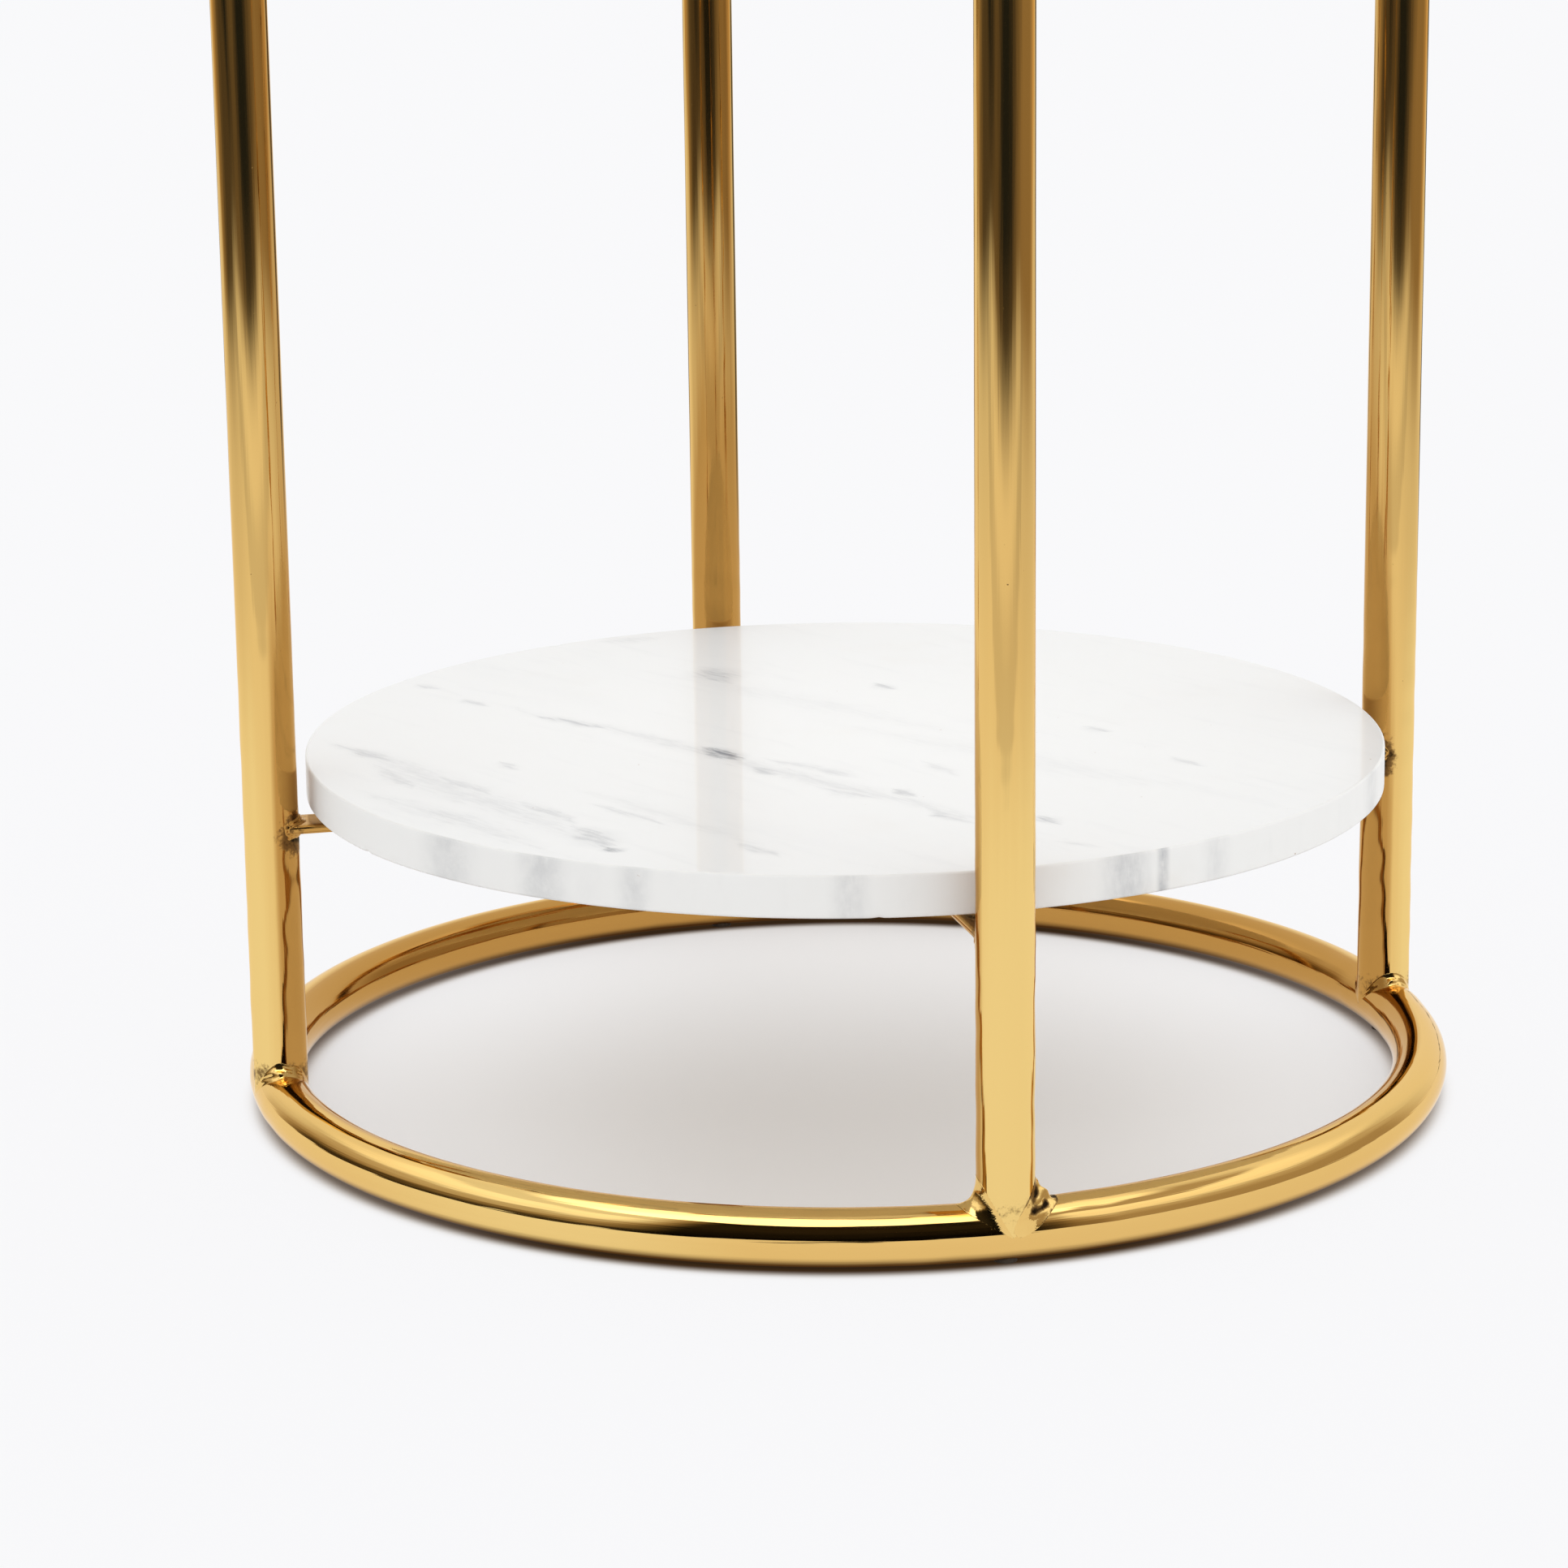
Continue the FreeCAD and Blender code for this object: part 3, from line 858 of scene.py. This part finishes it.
# Veins as start and end in millimetres from the axis, width in millimetres and strength
shelf_veins = [
    (-175, -12, 165, -100, 9.0, 0.18),
    (-178, -92, 30, -188, 14.0, 0.18),
    (-120, -150, 10, -196, 12.0, 0.16),
    (-60, -110, 90, -165, 8.0, 0.10),
    (-40, 20, 190, -20, 14.0, 0.07),
    (-150, 60, 60, 20, 14.0, 0.07),
    (-124, -27, -80, -39, 6.0, 0.42),
    (-84, -38, -36, -43, 4.0, 0.18),
    (-40, -41, -8, -54, 8.0, 0.95),
    (-8, -56, 18, -66, 6.0, 0.42),
    (-14, -43, 44, -54, 6.0, 0.24),
    (28, -72, 66, -77, 6.0, 0.24),
    (54, -62, 73, -69, 4.0, 0.42),
    (75, -77, 111, -94, 6.0, 0.26),
    (85, -90, 98, -87, 4.0, 0.38),
    (44, -19, 73, -38, 5.0, 0.18),
    (119, -68, 135, -79, 5.0, 0.45),
    (139, -99, 163, -98, 4.0, 0.16),
    (-164, -101, -111, -120, 6.0, 0.34),
    (-131, -121, -88, -146, 6.0, 0.26),
    (-103, -123, -57, -138, 5.0, 0.28),
    (-60, -138, -7, -162, 5.0, 0.30),
    (-17, -158, 20, -184, 9.0, 0.40),
    (11, -177, 21, -185, 4.0, 0.80),
    (-86, -162, -32, -179, 10.0, 0.22),
    (-31, -131, 22, -149, 4.0, 0.24),
    (-93, -96, -75, -105, 4.0, 0.26),
    (-162, -22, -141, -26, 4.0, 0.36),
    (-192, -8, -176, -11, 4.0, 0.26),
    (-175, 91, -150, 113, 8.0, 0.14),
    (-112, 74, -78, 48, 12.0, 0.36),
    (46, -152, 75, -164, 4.5, 0.28),
    (-38, 80, -19, 75, 4.5, 0.36),
    (70, 54, 88, 48, 4.5, 0.28),
    (120, 27, 142, 19, 4.0, 0.24),
]
top_veins = []
for seed, start, end, count in [
    (61, (-208, -66), (150, 150), 11),
    (62, (-120, -176), (200, 20), 9),
    (63, (-200, 60), (10, 210), 7),
    (64, (20, -205), (195, -95), 5),
    (65, (-60, 60), (190, 112), 4),
]:
    top_veins += vein_chain(seed, start, end, count)

# Edge bands as angle in degrees, half width in degrees and strength
shelf_bands = [
    (-102.2, 4.2, 0.22),
    (-90.1, 3.0, 0.26),
    (-79.9, 2.0, 0.18),
    (-58.8, 2.0, 0.20),
    (-30.9, 3.0, 0.30),
    (-26.7, 0.8, 0.45),
    (-20.0, 2.0, 0.12),
    (12.0, 3.0, 0.18),
    (78.0, 4.0, 0.20),
    (141.0, 3.0, 0.24),
]
top_bands = [
    (-154.0, 3.0, 0.26),
    (-117.0, 2.0, 0.20),
    (-46.0, 4.0, 0.16),
    (-20.0, 1.5, 0.30),
    (28.0, 3.0, 0.22),
    (47.0, 2.0, 0.28),
    (129.0, 3.0, 0.18),
]

polish = polish_group()
vein = vein_group()
tube_gold = gold_material("tube_gold", polish, 0.0, 0.025, True)
strip_gold = gold_material("strip_gold", polish, 0.02, 0.06, True)
weld_gold = gold_material("weld_gold", polish, 0.02, 0.06, False)
shelf_marble = stone_material("shelf_marble", vein, shelf_veins, shelf_bands, -18.0, 1.0)
top_marble = stone_material("top_marble", vein, top_veins, top_bands, 31.0, 40.0)
clear_rubber = bumper_material()
dark_felt = felt_material()


# The object

for name, seed, height in [("base_ring", 1, base_ring_height), ("top_ring", 3, top_ring_height)]:
    make_piece(name + "_tube", [ring_shell(seed, height)], tube_gold, "frame", [name])
for index, (corner, angle) in enumerate(corner_angles.items()):
    leg_node = "leg_" + corner
    lug_node = "lug_" + corner
    make_piece("tube_" + leg_node, [leg_shell(index, angle)], tube_gold, "frame", [leg_node])
    make_piece("strip_" + lug_node, [lug_shell(index, angle)], strip_gold, "frame", [lug_node])
    joints = [("base_weld_" + corner, base_ring_height, 1), ("top_weld_" + corner, top_ring_height, -1)]
    for weld_node, height, upward in joints:
        beads = []
        for side, (rise, spread, fullness, lump, fade) in zip((1, -1), foot_beads[corner]):
            seed = 100 + 10 * index + 2 * side + 50 * upward
            sizes = (rise * millimetre, spread * millimetre, fullness, lump * millimetre, fade)
            beads.append(crotch_shell(seed, angle, side, height, upward, *sizes))
        make_piece("bead_" + weld_node, beads, weld_gold, "frame", [weld_node])
    low_rise, low_spread, lump = (size * millimetre for size in lug_collars[corner])
    collar = lug_collar_shell(300 + index, angle, low_rise, low_spread, lump)
    weld_node = "lug_weld_" + corner
    make_piece("bead_" + weld_node, [collar], weld_gold, "frame", [weld_node])
    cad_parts["shelf_bumper_" + corner].material_slots[0].material = clear_rubber
    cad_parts["top_pad_" + corner].material_slots[0].material = clear_rubber
    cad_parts["floor_glide_" + corner].material_slots[0].material = dark_felt

shelf_stone = slab_shell(5, shelf_high.x, shelf_low.z, shelf_high.z)
top_stone = slab_shell(6, top_high.x, top_low.z, top_high.z)
make_piece("shelf_stone_slab", [shelf_stone], shelf_marble, "lower_slab", ["shelf_slab"])
make_piece("top_stone_slab", [top_stone], top_marble, "upper_slab", ["top_slab"])


# Stage and light

floor_half_width = 14.0
floor_albedo = 0.88

# Share of plain white in what is seen of the floor, which paints the floor's shade: inside the ring at the
# back and the front, what it gains to either side there, and outside the ring. Less white is painted shade,
# darker inside the ring and darkest at its front
plain_at_back = 0.61
plain_at_front = 0.30
plain_gain_aside = 0.28
plain_outside = 0.92

# Distances from under the ring's middle, between which the painted contact shadow and then the plain white
# change
contact_start = 3 * millimetre
contact_end = 11 * millimetre
plain_start = 4 * millimetre
plain_end = 14 * millimetre

# Soft light: its strength level with the floor, what it gains with height and loses right overhead, and what
# it gains from the right and loses from the camera's side
soft_level = 1.03
soft_gain_above = 0.28
soft_loss_overhead = 1.00
soft_gain_right = 0.10
soft_loss_camera = 0.12

# Directions from the table towards the camera and to the camera's right
to_camera = (math.sin(camera_azimuth), -math.cos(camera_azimuth), 0.0)
to_side = (math.cos(camera_azimuth), math.sin(camera_azimuth), 0.0)


def room_tone(tree, heading, forward):
    """Brightness of the room beyond the paper, by the heading from the table: black by the camera, a strip of
    light to the left of it, a black wall further left, a dim one on the right, and paler walls behind."""
    strip = smooth_step(tree, heading, -56, -30, 0.0, 0.11)
    strip = scaled(tree, strip, smooth_step(tree, heading, -28, -6, 1.0, 0.0))
    tone = calc(tree, "ADD", strip, smooth_step(tree, forward, 1.8, 3.0, 0.07, 0.0))
    for start, end, gain in [(10, 70, 0.23), (95, 150, 0.70), (-78, -165, 0.95)]:
        tone = calc(tree, "ADD", tone, smooth_step(tree, heading, start, end, 0.0, gain))
    return tone


def back_stands(tree, heading, place):
    """Two dark stands behind the table, one on each side, as mirrors see them from some way off."""
    stands = 0.0
    for middle, start, end in [(152.0, 7.0, 15.0), (-158.0, 2.0, 6.0)]:
        apart = calc(tree, "ABSOLUTE", calc(tree, "SUBTRACT", heading, middle))
        stands = calc(tree, "MAXIMUM", stands, smooth_step(tree, apart, start, end, 1.0, 0.0))
    distance = vector_calc(tree, "LENGTH", place)["Value"]
    return scaled(tree, stands, smooth_step(tree, distance, 0.8, 1.5, 0.0, 0.9))


def paper_tone(tree, place):
    """What mirrors see on the floor: a sheet of white paper, widening behind the table, that ends under the
    camera and fades out at both sides into a dim brown room."""
    forward = along_direction(tree, place, to_camera)
    sideways = along_direction(tree, place, to_side)
    heading = calc(tree, "DEGREES", calc(tree, "ARCTAN2", sideways, forward))
    behind = calc(tree, "MAXIMUM", calc(tree, "SUBTRACT", -0.6, forward), 0.0)
    left_out = calc(tree, "MULTIPLY_ADD", sideways, -1.0, -0.25)
    out = add_scaled(tree, calc(tree, "MAXIMUM", sideways, left_out), behind, -0.6)
    front = add_scaled(tree, forward, calc(tree, "MAXIMUM", sideways, 0.0), 0.05)
    paper = smooth_step(tree, out, 1.25, 2.35, 1.0, 0.0)
    paper = scaled(tree, paper, smooth_step(tree, front, 1.50, 2.24, 1.0, 0.0))
    crease = smooth_step(tree, forward, 0.84, 0.94)
    crease = scaled(tree, crease, smooth_step(tree, forward, 1.1, 1.4, 1.0, 0.0))
    white = calc(tree, "MULTIPLY_ADD", crease, -0.20, 1.0)
    white = scaled(tree, white, smooth_step(tree, out, 0.4, 1.4, 1.0, 0.84))
    room = blend_colour(tree, room_tone(tree, heading, forward), room_black, room_brown)
    sheet = blend_colour(tree, white, no_light, backdrop_white)
    mirrored = blend_colour(tree, paper, room, sheet)
    return blend_colour(tree, back_stands(tree, heading, place), mirrored, room_black)


def plain_share(tree, place, from_ring, in_ring, aside):
    """Share of plain white on the floor, which paints its shade: less inside the ring, least at its front,
    and little by the tube.
    """
    forward = along_direction(tree, place, to_camera)
    inner = smooth_step(tree, forward, -0.17, 0.06, plain_at_back, plain_at_front)
    inner = calc(tree, "ADD", inner, smooth_step(tree, aside, 0.03, ring_radius, 0.0, plain_gain_aside))
    share = mix_value(tree, in_ring, plain_outside, inner)
    return scaled(tree, share, smooth_step(tree, from_ring, plain_start, plain_end, 0.3, 1.0))


def floor_material():
    """Pale floor. The camera and mirrors see it partly lit and partly as plain white, so that its shadow
    stays light, and the share of plain white paints shade inside the ring. A painted contact shadow lies
    under the ring and a painted warm bounce inside it. Mirrors see the paper and the room instead of an
    endless white floor."""
    material = bpy.data.materials.new("pale_floor")
    material.use_nodes = True
    material.cycles.emission_sampling = "NONE"
    tree = material.node_tree
    tree.nodes.clear()
    place = object_place(tree)
    ray = put(tree, "ShaderNodeLightPath").outputs
    radius = vector_calc(tree, "LENGTH", place)["Value"]
    from_ring = calc(tree, "ABSOLUTE", calc(tree, "SUBTRACT", radius, ring_radius))
    in_ring = smooth_step(tree, radius, ring_radius - tube_radius, ring_radius + tube_radius, 1.0, 0.0)
    aside = calc(tree, "ABSOLUTE", along_direction(tree, place, to_side))
    # painted shadow: a dark brown band on the floor under the ring, lighter at the sides
    open_side = smooth_step(tree, aside, 0.08, ring_radius, 0.0, 0.30)
    contact = smooth_step(tree, from_ring, contact_start, contact_end, open_side)
    colour = blend_colour(tree, ray["Is Glossy Ray"], backdrop_white, paper_tone(tree, place))
    colour = blend_colour(tree, contact, contact_shadow_brown, colour)
    # painted light: the lit floor inside the ring takes the warm tint of bounced light
    bounced = blend_colour(tree, contact, contact_shadow_brown, bounce_light_warm)
    bounced = blend_colour(tree, in_ring, colour, bounced)
    dimmed = blend_colour(tree, floor_albedo, no_light, bounced)
    lit = put(tree, "ShaderNodeBsdfDiffuse", Color=dimmed)
    plain = put(tree, "ShaderNodeEmission", Color=colour, Strength=1.0)
    share = plain_share(tree, place, from_ring, in_ring, aside)
    mirror_share = calc(tree, "MULTIPLY_ADD", share, 0.3, 0.65)
    share = mix_value(tree, ray["Is Glossy Ray"], share, mirror_share)
    seen = calc(tree, "MAXIMUM", ray["Is Camera Ray"], ray["Is Glossy Ray"])
    seen = calc(tree, "MAXIMUM", seen, ray["Is Transmission Ray"])
    mixed = put(tree, "ShaderNodeMixShader", Fac=scaled(tree, seen, share))
    tree.links.new(lit.outputs["BSDF"], mixed.inputs[1])
    tree.links.new(plain.outputs["Emission"], mixed.inputs[2])
    out = tree.nodes.new("ShaderNodeOutputMaterial")
    tree.links.new(mixed.outputs["Shader"], out.inputs["Surface"])
    return material


def make_floor():
    """Large square floor at the height of the table's glides."""
    mesh = bpy.data.meshes.new("floor")
    half = floor_half_width
    corners = [(-half, -half, 0.0), (half, -half, 0.0), (half, half, 0.0), (-half, half, 0.0)]
    mesh.from_pydata(corners, [], [(0, 1, 2, 3)])
    mesh.materials.append(floor_material())
    floor = bpy.data.objects.new("floor", mesh)
    bpy.context.scene.collection.objects.link(floor)
    floor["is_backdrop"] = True


def mirrored_studio(tree, upward, facing, right):
    """Brightness of the studio that mirrors see: walls that brighten in steps with height, a darker band and
    then the ceiling lights, a white backdrop behind the table and a dark screen on the camera's side."""
    right = smooth_step(tree, right, 0.2, 0.7)
    wall = calc(tree, "ADD", 0.05, smooth_step(tree, upward, 0.04, 0.40, 0.0, 0.55))
    wall = calc(tree, "MAXIMUM", wall, scaled(tree, right, 0.45))
    for start, end, gain in [(0.42, 0.56, 0.62), (0.60, 0.68, 0.10)]:
        wall = calc(tree, "ADD", wall, smooth_step(tree, upward, start, end, 0.0, gain))
    dip = calc(tree, "MULTIPLY_ADD", right, -0.4, -0.4)
    wall = add_scaled(tree, wall, dip, smooth_step(tree, upward, 0.73, 0.77))
    ceiling = smooth_step(tree, facing, -0.1, 0.3, 1.05, 1.75)
    wall = add_scaled(tree, wall, ceiling, smooth_step(tree, upward, 0.84, 0.89))
    wall = calc(tree, "MAXIMUM", wall, 0.0)
    studio = mix_value(tree, smooth_step(tree, facing, -0.45, -0.85), wall, 0.98)
    screen = smooth_step(tree, upward, 0.855, 0.875, 1.0, 0.0)
    screen = scaled(tree, screen, smooth_step(tree, facing, 0.62, 0.86))
    return scaled(tree, studio, calc(tree, "MULTIPLY_ADD", screen, -0.985, 1.0))


def soft_light(tree, direction, upward):
    """Strength of the soft light: more from high up, behind and the right, and less from right overhead."""
    soft = calc(tree, "ADD", soft_level, smooth_step(tree, upward, 0.10, 0.60, 0.0, soft_gain_above))
    soft = calc(tree, "SUBTRACT", soft, smooth_step(tree, upward, 0.85, 0.94, 0.0, soft_loss_overhead))
    soft = add_scaled(tree, soft, along_direction(tree, direction, to_side), soft_gain_right)
    return add_scaled(tree, soft, along_direction(tree, direction, to_camera), -soft_loss_camera)


def make_world():
    """White studio: the camera sees plain white, mirrors see the studio, and all else gets the soft light."""
    world = bpy.data.worlds.new("studio")
    bpy.context.scene.world = world
    world.use_nodes = True
    tree = world.node_tree
    tree.nodes.clear()
    direction = put(tree, "ShaderNodeTexCoord").outputs["Generated"]
    ray = put(tree, "ShaderNodeLightPath").outputs
    upward = along_direction(tree, direction, (0.0, 0.0, 1.0))
    level = calc(tree, "SUBTRACT", 1.0, scaled(tree, upward, upward))
    level = calc(tree, "SQRT", calc(tree, "MAXIMUM", level, 0.0001))
    facing = calc(tree, "DIVIDE", along_direction(tree, direction, to_camera), level)
    right = calc(tree, "DIVIDE", along_direction(tree, direction, to_side), level)
    mirrored = mirrored_studio(tree, upward, facing, right)
    strength = mix_value(tree, ray["Is Glossy Ray"], soft_light(tree, direction, upward), mirrored)
    seen = calc(tree, "MAXIMUM", ray["Is Camera Ray"], ray["Is Transmission Ray"])
    strength = mix_value(tree, seen, strength, 1.0)
    warm = scaled(tree, smooth_step(tree, mirrored, 0.10, 0.95, 1.0, 0.0), ray["Is Glossy Ray"])
    colour = blend_colour(tree, warm, backdrop_white, lamp_brown)
    sky = put(tree, "ShaderNodeBackground", Color=colour, Strength=strength)
    out = tree.nodes.new("ShaderNodeOutputWorld")
    tree.links.new(sky.outputs["Background"], out.inputs["Surface"])


def turned(vector, angle):
    """Vector turned about the upright axis."""
    return Matrix.Rotation(angle, 3, "Z") @ vector


def make_camera():
    """Camera from its yaw, pitch and roll in its own upright plane, turned about the table's axis."""
    level = math.cos(camera_pitch)
    forward = Vector((math.sin(camera_yaw) * level, math.cos(camera_yaw) * level, -math.sin(camera_pitch)))
    right = Vector((math.cos(camera_yaw), -math.sin(camera_yaw), 0.0))
    over = right.cross(forward)
    rolled_right = math.cos(camera_roll) * right + math.sin(camera_roll) * over
    rolled_over = math.cos(camera_roll) * over - math.sin(camera_roll) * right
    place = Vector((0.0, -camera_distance, camera_height))
    columns = [turned(axis, camera_azimuth) for axis in (rolled_right, rolled_over, -forward, place)]
    data = bpy.data.cameras.new("camera")
    data.lens = camera_lens
    data.sensor_width = camera_sensor
    camera = bpy.data.objects.new("camera", data)
    pose = Matrix([[*(axis[row] for axis in columns)] for row in range(3)] + [[0, 0, 0, 1]])
    camera.matrix_world = pose
    bpy.context.scene.collection.objects.link(camera)
    bpy.context.scene.camera = camera


make_floor()
make_world()
make_camera()
bpy.context.scene.view_settings.view_transform = "Standard"

low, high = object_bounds()
sizes = {"cad": [list(cad_low), list(cad_high)], "visual": [list(low), list(high)]}
